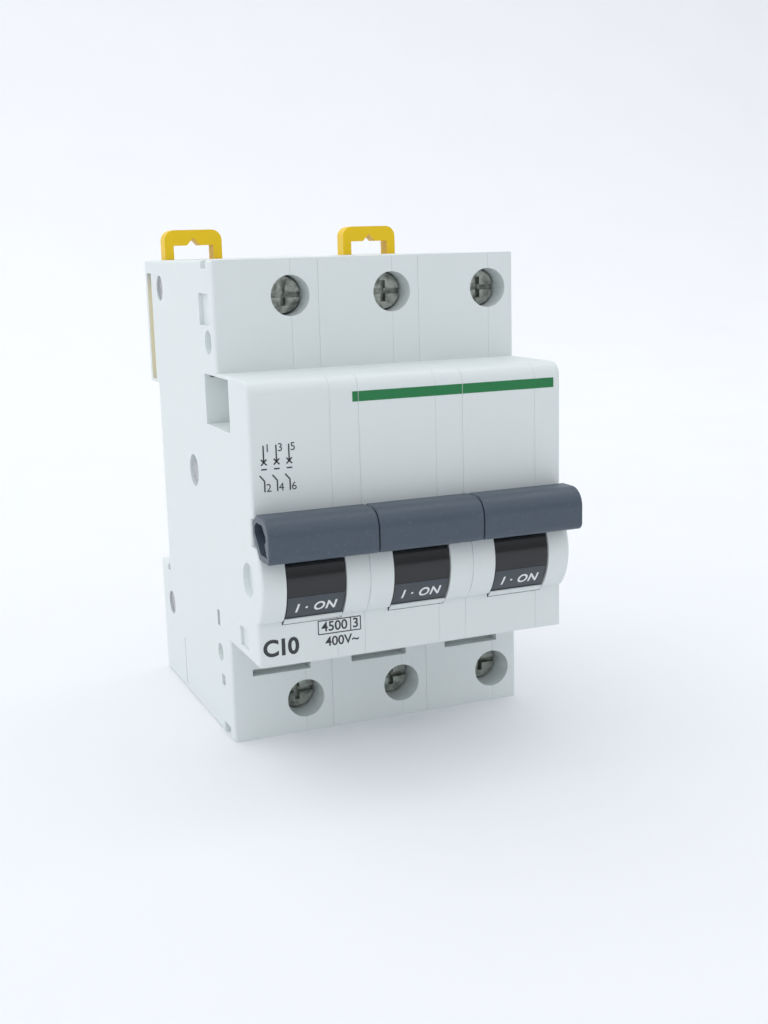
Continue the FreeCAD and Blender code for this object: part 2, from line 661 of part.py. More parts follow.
def make_handle_cover(pole):
    """The hollow grip that snaps over a toggle's neck."""
    thing = body(pole)
    low, high = "handle_gap", "pole_pitch - handle_gap"
    rear_y, front_y = "rear - handle_rear", "rear - handle_depth"
    hollow_y = f"{PIVOT_Y} - sqrt(handle_clear ^ 2 - (handle_low - pivot_height) ^ 2)"
    hollow_z = f"{PIVOT_Z} + sqrt(handle_clear ^ 2 - (handle_rear - pivot_depth) ^ 2)"
    points = [
        (hollow_y, "handle_low"),
        (f"{front_y} + handle_chin", "handle_low"),
        (front_y, "handle_low + handle_chin"),
        (front_y, "handle_top - handle_round"),
        (f"{front_y} + handle_round", "handle_top"),
        (f"{rear_y} - 2", "handle_top"),
        (f"{rear_y} - 0.9", "band_top + 0.2"),
        (rear_y, "band_top - 0.4"),
        (rear_y, hollow_z),
    ]
    add(thing, "x", low, high, outline=points, arcs={1: "handle_chin", 3: "handle_round"})
    for end in (low, high):
        round_rim(thing, end, "handle_edge", 0)
    inner = [
        ("rear - 67.9", "handle_low + handle_wall"),
        (f"{front_y} + handle_wall", "handle_low + handle_wall"),
        (f"{front_y} + handle_wall + 0.9", "tie_height"),
        (f"{front_y} + handle_wall", "handle_top - handle_round"),
        (f"{front_y} + handle_round", "handle_top - handle_wall"),
        (f"{rear_y} - 2.1", "handle_top - handle_wall"),
        (f"{rear_y} - handle_wall", "41"),
        (f"{rear_y} - handle_wall", "40"),
    ]
    remove(thing, "x", low, high, outline=inner)
    remove(thing, "x", "neck_left - 0.2", "neck_right + 0.2", outline=[
        ("rear - 69", "handle_low"), ("rear - 69", "38"), ("rear - 66", "41"), (rear_y, "41"),
        (rear_y, "39"), ("rear - 66", "handle_low")])
    keep(thing, f"handle_cover_{pole}")


# ---------------------------------------------------------------- mechanism

ARM_Y, ARM_Z = "rear - arm_depth", "arm_height"
LEVER_Y, LEVER_Z = "rear - lever_depth", "lever_height"
COIL_Y = "rear - coil_depth"
CONTACT_Y = f"{ARM_Y} + 9.2"


def make_contact_arm(pole):
    """A bell crank: the tail takes the link, and the long limb ends in the moving contact."""
    thing = body(pole)
    around = [(-13.3, -1.3), (-13.3, 2), (-2, 2.6), (2.2, 2), (9.2, -8.5), (9.2, -11.5), (7.4, -11.5),
              (-1.4, -2.6), (-10.8, -1.9)]
    add(thing, "x", "arm_left", "arm_left + arm_thick",
        outline=[(f"{ARM_Y} + {y}", f"{ARM_Z} + {z}") for y, z in around])
    remove(thing, "x", "arm_left", "arm_left + arm_thick", circles=[
        (ARM_Y, ARM_Z, "arm_pin_radius + running_play"),
        (f"{ARM_Y} - arm_tail + tail_hole_back", f"{ARM_Z} + tail_hole_up", "tail_hole")])
    keep(thing, f"contact_arm_{pole}")


def make_link(pole):
    """A flat bar between toggle and contact arm, with a cross pin at each end."""
    left = left_of(pole)
    thing = body(pole)
    tail_y = f"{ARM_Y} - arm_tail"
    half = "link_width / 2"
    add(thing, "x", "link_left", "link_right", outline=[
        (f"{crank_y()} - {half}", f"{crank_z()} - {half}"), (f"{tail_y} - {half}", f"{ARM_Z} + {half}"),
        (f"{tail_y} + {half}", f"{ARM_Z} + {half}"), (f"{crank_y()} + {half}", f"{crank_z()} - {half}")])
    lower = rod("x", f"{left} + crank_pin_left", crank_y(), crank_z(), "link_pin_radius",
                "crank_pin_right - crank_pin_left")
    upper = rod("x", f"{left} + arm_left", tail_y, ARM_Z, "link_pin_radius", "link_right - arm_left")
    keep(join(thing, lower, upper), f"link_{pole}")


def make_trip_lever(pole):
    """Lever that the striker pin or the bimetal moves to release the latch."""
    thing = body(pole)
    outline = [(-1.9, 0.6), (1.2, 1.7), (5.6, -6.4), (26, -6.4), (26, -8.4), (2.6, -8.4)]
    add(thing, "x", "lever_left", "lever_left + lever_thick",
        outline=[(f"{LEVER_Y} + {y}", f"{LEVER_Z} + {z}") for y, z in outline])
    add(thing, "x", "lever_left", "lever_left + lever_thick", circles=[(LEVER_Y, LEVER_Z, "lever_boss")])
    remove(thing, "x", "lever_left", "lever_left + lever_thick",
           circles=[(LEVER_Y, LEVER_Z, "arm_pin_radius + running_play")])
    keep(thing, f"trip_lever_{pole}")


def make_magnet(pole):
    """Coil, steel frame with its fixed core, plunger with its striker pin, and return spring."""
    left = left_of(pole)
    middle = f"{left} + pole_pitch / 2"
    coil = doc.addObject("PartDesign::Body", "Body")
    place(coil, middle, COIL_Y, "0")
    sketch = coil.newObject("Sketcher::SketchObject", "Sketch")
    sketch.AttachmentSupport = (next(f for f in coil.Origin.OriginFeatures if f.Role == "XZ_Plane"), [""])
    sketch.MapMode = "FlatFace"
    turns = int(value("coil_turns"))
    outer = "coil_radius - wire_pitch / 2"
    points = [("coil_bore", "coil_low"), ("coil_bore", "coil_low + coil_turns * wire_pitch")]
    points += [(outer, f"coil_low + {n} * wire_pitch") for n in range(turns, -1, -1)]
    draw_outline(sketch, points, {n: "wire_pitch * 0.55" for n in range(2, 2 + turns)})
    turned = coil.newObject("PartDesign::Revolution", "Revolution")
    turned.Profile = sketch
    turned.ReferenceAxis = (sketch, ["V_Axis"])
    turned.Angle = 360
    keep(coil, f"coil_{pole}")

    coil_top = "coil_low + coil_turns * wire_pitch"
    frame_low = "coil_low - yoke_gap - yoke_thick"
    low_x, front_y = f"{middle} - yoke_width / 2", f"{COIL_Y} - yoke_front"
    plate_deep = "yoke_front + yoke_rear + yoke_thick"
    low_plate = block(low_x, front_y, frame_low, "yoke_width", plate_deep, "yoke_thick")
    top_plate = block(low_x, front_y, f"{coil_top} + yoke_gap", "yoke_width", plate_deep, "yoke_thick")
    back = block(low_x, f"{COIL_Y} + yoke_rear", frame_low, "yoke_width", "yoke_thick",
                 "coil_turns * wire_pitch + 2 * yoke_gap + 2 * yoke_thick")
    core = rod("z", middle, COIL_Y, frame_low, "core_radius", "core_high")
    pin_bore = rod("z", middle, COIL_Y, f"{frame_low} - 1", "pin_radius + running_play", "core_high + 2")
    plunger_bore = rod("z", middle, COIL_Y, coil_top, "core_radius + running_play", "2 * yoke_thick")
    keep(cut(join(low_plate, top_plate, back, core), pin_bore, plunger_bore), f"yoke_{pole}")

    plunger = rod("z", middle, COIL_Y, "plunger_low", "core_radius - running_play", "plunger_high")
    striker = rod("z", middle, COIL_Y, "pin_low", "pin_radius", "plunger_low - pin_low + 1")
    keep(join(plunger, striker), f"plunger_{pole}")

    rings = [ring("z", middle, COIL_Y, f"return_low + {n} * return_pitch", "return_radius", "return_wire")
             for n in range(4)]
    spine = block(f"{middle} + return_radius - spring_leg / 2", f"{COIL_Y} - spring_leg / 2", "return_low",
                  "spring_leg", "spring_leg", "3 * return_pitch")
    keep(join(spine, *rings), f"plunger_spring_{pole}")


def make_arc_chute(pole):
    """A stack of steel splitter plates, each with a notch that draws the arc in."""
    left = left_of(pole)
    plates = []
    for n in range(int(value("plates"))):
        height = f"plate_low + {n} * plate_pitch"
        plate = block(f"{left} + plate_left", "plate_front", height, "plate_width", "plate_deep",
                      "plate_thick")
        notch = block(f"{left} + plate_left + (plate_width - plate_notch) / 2", "plate_front", height,
                      "plate_notch", "notch_deep", "plate_thick")
        plates.append(cut(plate, notch))
    keep(group(*plates), f"arc_chute_{pole}")


# ---------------------------------------------------------------- terminals


def make_terminal(pole, side):
    """A captive screw with a slot-and-cross recess, and the cage that it draws along."""
    left = left_of(pole)
    head_depth = f"{side}_head_depth"
    x = f"{left} + screw_x"
    z = "case_height - screw_rise" if side == "upper" else "screw_rise"
    head_y = f"{FRONT} + {head_depth}"
    head = rod("y", x, head_y, z, "head_radius", "head_thick")
    shank = rod("y", x, f"{head_y} + head_thick", z, "screw_radius", "shank_length")
    slot = block(f"{x} - head_radius", head_y, f"{z} - drive_width / 2", "2 * head_radius", "slot_depth",
                 "drive_width")
    cross = block(f"{x} - drive_width / 2", head_y, f"{z} - cross_reach", "drive_width", "cross_depth",
                  "2 * cross_reach")
    keep(cut(join(head, shank), slot, cross), f"{side}_screw_{pole}")

    front = cage_front(head_depth)
    low_x = f"{x} - cage_width / 2"
    low_z = f"{z} - cage_deep / 2"
    outer = block(low_x, front, low_z, "cage_width", "cage_length", "cage_deep")
    room = block(f"{low_x} + cage_wall", f"{front} + cage_nut", f"{low_z} - 1", "cage_width - 2 * cage_wall",
                 "cage_length - cage_nut - cage_floor", "cage_deep + 2")
    bore = rod("y", x, f"{front} - 1", z, "screw_radius + running_play", "cage_nut + 2")
    keep(cut(outer, room, bore), f"{side}_cage_{pole}")


def make_strips():
    """Copper strips: line side, fixed contact and load side, one of each in every pole."""
    line, fixed, load = [], [], []
    for pole in POLES:
        left = left_of(pole)
        upper_y = f"{strip_rear('upper_head_depth')} - strip_thick"
        lower_y = f"{strip_rear('lower_head_depth')} - strip_thick"
        foot_z = "load_low + load_tongue - strip_thick"
        line.append(join(
            block(f"{left} + strip_left", upper_y, "line_low", "strip_width", "strip_thick", "line_tongue"),
            block(f"{left} + line_left", upper_y, "line_foot", "strip_left + strip_width - line_left",
                  "strip_thick", "line_step"),
            block(f"{left} + line_left", upper_y, "line_foot", "tab_width", "tab_deep", "strip_thick")))
        fixed.append(join(
            block(f"{left} + fixed_left", CONTACT_Y, "fixed_low", "tab_width", "strip_thick", "fixed_tall"),
            block(f"{left} + fixed_left", CONTACT_Y, "fixed_low + fixed_tall", "tab_width", "tab_deep",
                  "strip_thick"),
            block(f"{left} + fixed_left", CONTACT_Y, "fixed_low", "tab_width", "tab_deep", "strip_thick")))
        load.append(join(
            block(f"{left} + strip_left", lower_y, "load_low", "strip_width", "strip_thick", "load_tongue"),
            block(f"{left} + strip_left", "bimetal_y - load_gap", foot_z, "strip_width",
                  f"{lower_y} - bimetal_y + load_gap + strip_thick", "strip_thick")))
    keep(group(*line), "line_strips")
    keep(group(*fixed), "fixed_contacts")
    keep(group(*load), "load_strips")


# ---------------------------------------------------------------- pieces that the poles share


def make_pins():
    axles, pivots, rivets = [], [], []
    for pole in POLES:
        left = left_of(pole)
        axles.append(rod("x", f"{left} + window_left - axle_seat", PIVOT_Y, PIVOT_Z, "toggle_pin_radius",
                         "window_right - window_left + 2 * axle_seat"))
        pivots.append(rod("x", f"{left} + side_wall", ARM_Y, ARM_Z, "arm_pin_radius", "pivot_pin_length"))
        pivots.append(rod("x", f"{left} + pole_pitch - side_wall - pivot_pin_length", LEVER_Y, LEVER_Z,
                          "arm_pin_radius", "pivot_pin_length"))
    for y, z, _ in RIVETS:
        low = f"{left_of(POLES[0])} + rivet_inset"
        shank = rod("x", low, y, z, "rivet_radius", "3 * pole_pitch - 2 * rivet_inset")
        head = rod("x", low, y, z, "rivet_head", "rivet_head_thick")
        tail = rod("x", f"{left_of(POLES[-1])} + pole_pitch - rivet_inset - rivet_head_thick", y, z,
                   "rivet_head", "rivet_head_thick")
        rivets.append(join(shank, head, tail))
    keep(group(*axles), "toggle_pins")
    keep(group(*pivots), "pivot_pins")
    keep(group(*rivets), "rivets")
    keep(rod("x", f"{left_of(POLES[0])} + tie_inset", "rear - tie_depth", "tie_height", "tie_radius",
             "3 * pole_pitch - 2 * tie_inset"), "handle_tie_rod")


def make_toggle_springs():
    """Torsion springs on the toggles' axles, each three turns of wire joined by their end leg."""
    springs = []
    for pole in POLES:
        left = left_of(pole)
        first = f"{left} + spring_first"
        turns = [ring("x", f"{first} + {n} * spring_pitch", PIVOT_Y, PIVOT_Z, "spring_radius", "spring_wire")
                 for n in range(3)]
        leg = block(f"{first} - leg_overhang", f"{PIVOT_Y} + spring_radius - spring_leg / 2",
                    f"{PIVOT_Z} - spring_leg / 2", "2 * spring_pitch + 2 * leg_overhang", "spring_leg",
                    "spring_leg")
        springs.append(join(leg, *turns))
    keep(group(*springs), "toggle_springs")


def make_bimetals():
    strips = [block(f"{left_of(pole)} + bimetal_left", "bimetal_y", "bimetal_low", "tab_width",
                    "bimetal_thick", "bimetal_tall") for pole in POLES]
    keep(group(*strips), "bimetals")


def make_braids():
    """Flexible copper leads, each one arc from a bimetal's face to beside a contact arm."""
    stations = [V(*(value(f"lead_{point}_{axis}") for axis in "xyz")) for point in ("foot", "bend", "end")]
    path = Part.Wire([Part.Arc(*stations).toShape()])
    start = path.Edges[0]
    section = Part.Circle(start.valueAt(start.FirstParameter), start.tangentAt(start.FirstParameter),
                          value("lead_radius"))
    leads = []
    for pole in POLES:
        lead = doc.addObject("Part::Feature", "Lead")
        lead.Shape = path.makePipeShell([Part.Wire([section.toShape()])], True, False)
        bind(lead, Placement__Base__x=left_of(pole))
        leads.append(lead)
    keep(group(*leads), "braids")


def make_rail_clip(pole):
    """A slider with a catch for the rail's upper flange and a looped pull tab above the shell."""
    thing = body(pole)
    rear_y = "rear - clip_rear"
    front_y = f"{rear_y} - clip_thick"
    tab = [
        ("clip_left", "clip_body_top - 1"),
        ("clip_left", "clip_top - clip_round"),
        ("clip_left + clip_round", "clip_top"),
        ("clip_right - clip_round", "clip_top"),
        ("clip_right", "clip_top - clip_round"),
        ("clip_right", "clip_body_top - 1"),
    ]
    add(thing, "y", front_y, rear_y, outline=tab, arcs={1: "clip_round", 3: "clip_round"})
    add(thing, "y", front_y, rear_y,
        outline=rectangle("side_wall + clip_play", "pole_pitch - side_wall - clip_play", "clip_catch",
                          "clip_body_top"))
    middle = "(clip_left + clip_right) / 2"
    remove(thing, "y", front_y, rear_y, outline=[
        ("clip_left + clip_leg", "loop_low"), ("clip_left + clip_leg", "loop_high"),
        (f"{middle} - notch_half", "loop_high"), (middle, "notch_high"),
        (f"{middle} + notch_half", "loop_high"),
        ("clip_right - clip_leg", "loop_high"), ("clip_right - clip_leg", "loop_low")])
    keep(thing, f"rail_clip_{pole}")


# ---------------------------------------------------------------- the whole

for pole in POLES:
    make_shells(pole)
    make_toggle(pole)
    make_handle_cover(pole)
    make_contact_arm(pole)
    make_link(pole)
    make_trip_lever(pole)
    make_magnet(pole)
    make_arc_chute(pole)
    make_terminal(pole, "upper")
    make_terminal(pole, "lower")
make_strips()
make_pins()
make_toggle_springs()
make_bimetals()
make_braids()
for pole in (POLES[0], POLES[-1]):
    make_rail_clip(pole)

doc.recompute()
for thing in doc.Objects:
    if {"Invalid", "Error"} & set(thing.State):
        raise RuntimeError(f"{thing.Name} ({thing.Label}) failed: {thing.State}")
for pocket in doc.findObjects("PartDesign::Pocket"):
    if pocket.Shape.Volume > pocket.BaseFeature.Shape.Volume - 1e-6:
        raise RuntimeError(f"{pocket.Name} cuts nothing")
for thing in made:
    if thing.Shape.isNull() or not thing.Shape.isValid():
        raise RuntimeError(f"{thing.Label} has no valid shape")

os.makedirs("parts", exist_ok=True)
for thing in made:
    thing.Shape.exportStep(f"parts/{thing.Label}.step")
    box = thing.Shape.BoundBox
    print(f"{thing.Label:20s} solids {len(thing.Shape.Solids)} x {box.XMin:.2f} {box.XMax:.2f} "
          f"y {box.YMin:.2f} {box.YMax:.2f} z {box.ZMin:.2f} {box.ZMax:.2f} volume {thing.Shape.Volume:.1f}")
print(len(made), "sub-parts")
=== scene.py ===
"""The looks of a three-pole modular circuit breaker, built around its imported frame.

Every piece is in metres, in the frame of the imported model: +Z up, front towards -Y.
"""

import json
import math

import bmesh
import bpy
import numpy as np
from mathutils import Matrix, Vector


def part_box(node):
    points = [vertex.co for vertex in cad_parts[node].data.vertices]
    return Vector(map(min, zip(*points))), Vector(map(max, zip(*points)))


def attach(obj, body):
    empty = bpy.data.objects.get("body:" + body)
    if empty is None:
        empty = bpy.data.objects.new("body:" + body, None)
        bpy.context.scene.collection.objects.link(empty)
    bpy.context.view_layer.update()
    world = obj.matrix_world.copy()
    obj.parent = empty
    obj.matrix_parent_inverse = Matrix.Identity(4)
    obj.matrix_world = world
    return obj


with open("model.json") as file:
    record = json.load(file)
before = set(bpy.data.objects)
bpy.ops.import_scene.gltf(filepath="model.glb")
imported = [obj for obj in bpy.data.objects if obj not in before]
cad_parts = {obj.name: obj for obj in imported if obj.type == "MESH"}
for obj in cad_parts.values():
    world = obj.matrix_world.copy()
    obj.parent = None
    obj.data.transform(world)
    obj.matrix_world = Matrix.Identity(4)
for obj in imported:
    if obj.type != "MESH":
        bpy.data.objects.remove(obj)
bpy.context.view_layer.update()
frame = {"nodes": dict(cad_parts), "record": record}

bl_info = {
    "name": "Modular Circuit Breaker",
    "version": (1, 0, 0),
    "blender": (4, 5, 0),
    "location": "View3D > Sidebar > Breaker",
    "description": "Finishes and printed markings of a three-pole modular circuit breaker",
    "category": "Add Mesh",
}

MM = 0.001
POLES = (1, 2, 3)
SIDES = ("upper", "lower")
LIP_PLAY = 0.15 * MM  # between a toggle's drum and the lip under it
LIP_THICK = 0.2 * MM
BAND_THICK = 0.05 * MM
BAND_INSET = 0.1 * MM  # from each end of a drum to its band
STRIPE_SEAM = 0.06 * MM  # clear of the joint between two modules
STRIPE_LEFT = 17 * MM  # from the left side
STRIPE_RIGHT = 1.3 * MM  # from the right side
OFF_ANGLE = math.radians(84)  # the drum's off mark, which the window shows when the handle is down
CAPITALS = 0.7  # height of a capital letter as a share of its type size
PRINT_LIFT = 0.03 * MM  # an ink layer's thickness, thick enough to stay clear of its surface


# ---------------------------------------------------------------- places read from the frame


def joint_place(name):
    """Where a joint's axis passes, in the row frame."""
    return np.array(next(j for j in frame["record"]["behaviour"]["joints"] if j["name"] == name)["pos_m"])


def corners(node):
    low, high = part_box(node)
    return np.array(low), np.array(high)


def front_at(node, low_z, high_z):
    """The foremost y of a node's points between two heights."""
    mesh = frame["nodes"][node].data
    points = np.empty(len(mesh.vertices) * 3)
    mesh.vertices.foreach_get("co", points)
    points = points.reshape(-1, 3)
    inside = (points[:, 2] > low_z) & (points[:, 2] < high_z)
    return points[inside, 1].min()


PIVOT = joint_place("handle_hinge")
MODULE_LEFT = [corners(f"case_{pole}")[0][0] for pole in POLES]
MODULE_RIGHT = [corners(f"cover_{pole}")[1][0] for pole in POLES]
# the flat front of the nose above the handle, and of the plate below the toggles
PRINT_TOP = corners("handle_cover_1")[1][2] + 20 * MM
NOSE_FRONT = front_at("case_1", PRINT_TOP - 15 * MM, PRINT_TOP)
PLATE_FRONT = front_at("case_1", 17.5 * MM, 20 * MM)


# ---------------------------------------------------------------- settings


class ShellSettings(bpy.types.PropertyGroup):
    """Moulded shells and rail clips."""

    colour: bpy.props.StringProperty(name="Shell colour", description="sRGB hex of the plastic",
                                     default="#E3E9E8")
    grain: bpy.props.FloatProperty(name="Mould grain", default=0.22, min=0.05, max=1.0,
                                   description="Width of one pit of the spark-eroded mould, in mm")
    lip_top: bpy.props.FloatProperty(name="Lip top", default=math.radians(-41.5), subtype="ANGLE",
                                     description="Upper edge of the lip under a toggle's drum")
    lip_low: bpy.props.FloatProperty(name="Lip foot", default=math.radians(-50), subtype="ANGLE",
                                     description="Lower edge of the lip under a toggle's drum")
    clip_colour: bpy.props.StringProperty(name="Clip colour", description="sRGB hex of the rail clips",
                                          default="#F7CE00")


class HandleSettings(bpy.types.PropertyGroup):
    """Toggles, their covers and their markings."""

    cover_colour: bpy.props.StringProperty(name="Cover colour", description="sRGB hex of the handle covers",
                                           default="#4A5663")
    drum_colour: bpy.props.StringProperty(name="Drum colour", description="sRGB hex of the toggles",
                                          default="#15181B")
    band_colour: bpy.props.StringProperty(name="Band colour", description="sRGB hex of the marked band",
                                          default="#434B52")
    band_top: bpy.props.FloatProperty(name="Band top", default=math.radians(-14), subtype="ANGLE",
                                      description="Upper edge of the band, about the toggle's axis")
    band_low: bpy.props.FloatProperty(name="Band foot", default=math.radians(-43), subtype="ANGLE",
                                      description="Lower edge of the band, about the toggle's axis")
    letter_size: bpy.props.FloatProperty(name="Letter size", description="Height of the toggle's letters",
                                         default=1.6 * MM, unit="LENGTH")


class PrintSettings(bpy.types.PropertyGroup):
    """Printed markings of the front."""

    stripe_colour: bpy.props.StringProperty(name="Stripe colour", default="#0C7A40",
                                            description="sRGB hex of the coloured stripe")
    ink_colour: bpy.props.StringProperty(name="Ink colour", description="sRGB hex of the dark ink",
                                         default="#34393E")
    stripe_rise: bpy.props.FloatProperty(name="Stripe height", default=59.7 * MM, unit="LENGTH",
                                         description="Middle of the stripe above the underside")
    stripe_width: bpy.props.FloatProperty(name="Stripe width", description="Width of the stripe",
                                          default=1.6 * MM, unit="LENGTH")


class StageSettings(bpy.types.PropertyGroup):
    """Camera, light and floor."""

    place: bpy.props.FloatVectorProperty(name="Camera place", description="Where the camera stands", size=3,
                                         default=(-0.08384, -0.21980, 0.08240), unit="LENGTH")
    azimuth: bpy.props.FloatProperty(name="Azimuth", description="How far the view turns from +Y towards +X",
                                     default=math.radians(22.35), subtype="ANGLE")
    descent: bpy.props.FloatProperty(name="Descent", description="How far the view points below the horizon",
                                     default=math.radians(11.34), subtype="ANGLE")
    roll: bpy.props.FloatProperty(name="Roll", description="Turn of the picture", default=math.radians(-1.55),
                                  subtype="ANGLE")
    lens: bpy.props.FloatProperty(name="Lens", default=46.5,
                                  description="Focal length on a 36 mm sensor, in mm")


# ---------------------------------------------------------------- materials


def linear(hex_colour):
    """An sRGB hex value as linear red, green, blue and alpha."""
    parts = np.array([int(hex_colour[i:i + 2], 16) for i in (1, 3, 5)]) / 255
    low = parts / 12.92
    high = ((parts + 0.055) / 1.055) ** 2.4
    return (*np.where(parts <= 0.04045, low, high), 1.0)


def add_node(tree, kind, settings=None, inputs=None):
    """Adds a shader node. settings are its own fields. inputs fill its sockets, by name or number, with a
    value or with another node's output."""
    made = tree.nodes.new(kind)
    for field, value in (settings or {}).items():
        setattr(made, field, value)
    for socket, value in (inputs or {}).items():
        if isinstance(value, bpy.types.NodeSocket):
            tree.links.new(value, made.inputs[socket])
        else:
            made.inputs[socket].default_value = value
    return made


def new_material(name, **surface):
    """A material with one Principled shader, whose plain numbers are set on its own sockets."""
    made = bpy.data.materials.new(name)
    made.use_nodes = True
    tree = made.node_tree
    shader = tree.nodes["Principled BSDF"]
    for socket, value in surface.items():
        shader.inputs[socket.replace("_", " ")].default_value = value
    place = add_node(tree, "ShaderNodeTexCoord").outputs["Object"]
    return made, tree, shader, place


def noise(tree, place, size, detail):
    """Smooth noise with features about size millimetres wide."""
    inputs = {"Vector": place, "Scale": 1 / (size * MM), "Detail": detail}
    return add_node(tree, "ShaderNodeTexNoise", None, inputs).outputs["Fac"]


def spread(tree, value, low, high, start, end):
    """The range of a value from low to high, spread from start to end and held there outside it."""
    inputs = {0: value, 1: low, 2: high, 3: start, 4: end}
    return add_node(tree, "ShaderNodeMapRange", None, inputs).outputs[0]


def blend(tree, factor, first, second):
    """A colour between two others."""
    inputs = {0: factor, 6: first, 7: second}
    return add_node(tree, "ShaderNodeMix", {"data_type": "RGBA"}, inputs).outputs[2]


def relief(tree, shader, height, strength, depth):
    """Raises a surface by a height that runs from 0 to 1, depth being its full rise in millimetres."""
    inputs = {"Strength": strength, "Distance": depth * MM, "Height": height}
    bump = add_node(tree, "ShaderNodeBump", None, inputs)
    tree.links.new(bump.outputs["Normal"], shader.inputs["Normal"])


def moulded(name, hex_colour, roughness, grain, grain_depth, mottle, ior=1.5, speck=0.0):
    """A moulded plastic: fine pits from the mould's spark-eroded face, a slight mottle where the melt
    flowed, and roughness that varies with it. grain and grain_depth are a pit's size in millimetres."""
    made, tree, shader, place = new_material(name, IOR=ior)
    flow = noise(tree, place, 9, 3.0)
    pits = noise(tree, place, grain, 2.0)
    base = linear(hex_colour)
    shade = tuple(c * (1 - mottle) for c in base[:3]) + (1.0,)
    colour = blend(tree, flow, shade, base)
    if speck:
        cells = noise(tree, place, 0.55, 4.0)
        light = tuple(min(1.0, c * 1.8 + 0.01) for c in base[:3]) + (1.0,)
        colour = blend(tree, spread(tree, cells, 0.6, 0.75, 0.0, speck), colour, light)
    tree.links.new(colour, shader.inputs["Base Color"])
    dull = spread(tree, flow, 0.3, 0.7, roughness * 0.9, min(1.0, roughness * 1.12))
    tree.links.new(dull, shader.inputs["Roughness"])
    relief(tree, shader, pits, 0.35, grain_depth)
    return made


def metal(name, hex_colour, roughness, brush, dirt_and_shade_hex, dirt_and_shade, stretch=(1.0, 1.0, 1.0)):
    """A bare or plated metal: fine marks left by drawing or rolling, and darker dull patches. These are
    handling dirt, and on the zinc-plated terminals they are partly painted shade of the deep holes the
    terminals sit in. brush is the width of a mark in millimetres."""
    made, tree, shader, place = new_material(name, Metallic=1.0)
    along = add_node(tree, "ShaderNodeMapping", None, {"Vector": place, "Scale": stretch})
    marks = noise(tree, along.outputs[0], brush, 4.0)
    patches = noise(tree, place, 1.3, 5.0)
    # darker patches: handling dirt, and on the zinc partly painted shade standing in for the shade inside the
    # terminal holes
    cover = spread(tree, patches, 0.42, 0.68, 0.0, dirt_and_shade)
    tree.links.new(blend(tree, cover, linear(hex_colour), linear(dirt_and_shade_hex)), shader.inputs["Base Color"])
    dull = spread(tree, patches, 0.35, 0.7, roughness, min(1.0, roughness * 1.8))
    tree.links.new(dull, shader.inputs["Roughness"])
    relief(tree, shader, marks, 0.25, 0.02)
    return made


def ink(name, hex_colour, roughness=0.5):
    """Pad-printed ink: a thin even film, slightly mottled where it took less well."""
    made, tree, shader, place = new_material(name, IOR=1.5)
    film = noise(tree, place, 0.35, 3.0)
    base = linear(hex_colour)
    thin = tuple(c * 0.88 + 0.012 for c in base[:3]) + (1.0,)
    tree.links.new(blend(tree, film, thin, base), shader.inputs["Base Color"])
    dull = spread(tree, film, 0.0, 1.0, roughness * 0.85, roughness * 1.15)
    tree.links.new(dull, shader.inputs["Roughness"])
    return made


def dress(nodes, material):
    """Gives CAD nodes a finish."""
    for node in nodes:
        mesh = frame["nodes"][node].data
        mesh.materials.clear()
        mesh.materials.append(material)


# ---------------------------------------------------------------- mesh work


def make_piece(name, points, faces, material, body):
    """A flat-shaded mesh object at the origin that rides on a body."""
    mesh = bpy.data.meshes.new(name)
    mesh.from_pydata(points, [], faces)
    mesh.materials.append(material)
    piece = bpy.data.objects.new(name, mesh)
    bpy.context.scene.collection.objects.link(piece)
    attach(piece, body)
    return piece


def slab(front, back):
    """Points and faces of a closed plate between two grids of the same size: front and back are arrays
    of rows, columns and xyz. The faces of front point the way its rows and columns turn by the right hand."""
    rows, columns = front.shape[:2]
    number = np.arange(rows * columns).reshape(rows, columns)
    a, b, c, d = number[:-1, :-1], number[:-1, 1:], number[1:, 1:], number[1:, :-1]
    top = np.stack([a, b, c, d], -1).reshape(-1, 4)
    under = top[:, ::-1] + rows * columns
    rim = np.concatenate([number[0, :], number[1:, -1], number[-1, -2::-1], number[-2:0:-1, 0]])
    after = np.roll(rim, -1)
    side = np.stack([after, rim, rim + rows * columns, after + rows * columns], -1)
    points = np.concatenate([front.reshape(-1, 3), back.reshape(-1, 3)])
    return points, np.concatenate([top, under, side]).tolist()


def flat_patch(left, right, low, high, y):
    """A thin plate of ink on a face that looks towards -Y, between two x and two z."""
    x, z = np.meshgrid([left, right], [low, high])
    front = np.stack([x, np.full_like(x, y - PRINT_LIFT), z], -1)
    back = np.stack([x, np.full_like(x, y), z], -1)
    return slab(front, back)


def gather(shapes):
    """Several sets of points and faces as one."""
    points, faces, count = [], [], 0
    for some_points, some_faces in shapes:
        points.append(some_points)
        faces += [[corner + count for corner in face] for face in some_faces]
        count += len(some_points)
    return np.concatenate(points), faces


def stroke(x0, z0, x1, z1, width, y):
    """A straight inked line of a given width: a plate along the direction from its start to its end."""
    along = np.array([x1 - x0, z1 - z0])
    across = np.array([-along[1], along[0]]) / np.hypot(*along) * width / 2
    ends = np.array([[x0, z0], [x1, z1]])
    low, high = ends - across, ends + across
    x = np.stack([low[:, 0], high[:, 0]])
    z = np.stack([low[:, 1], high[:, 1]])
    front = np.stack([x, np.full_like(x, y - PRINT_LIFT), z], -1)
    back = np.stack([x, np.full_like(x, y), z], -1)
    return slab(front, back)


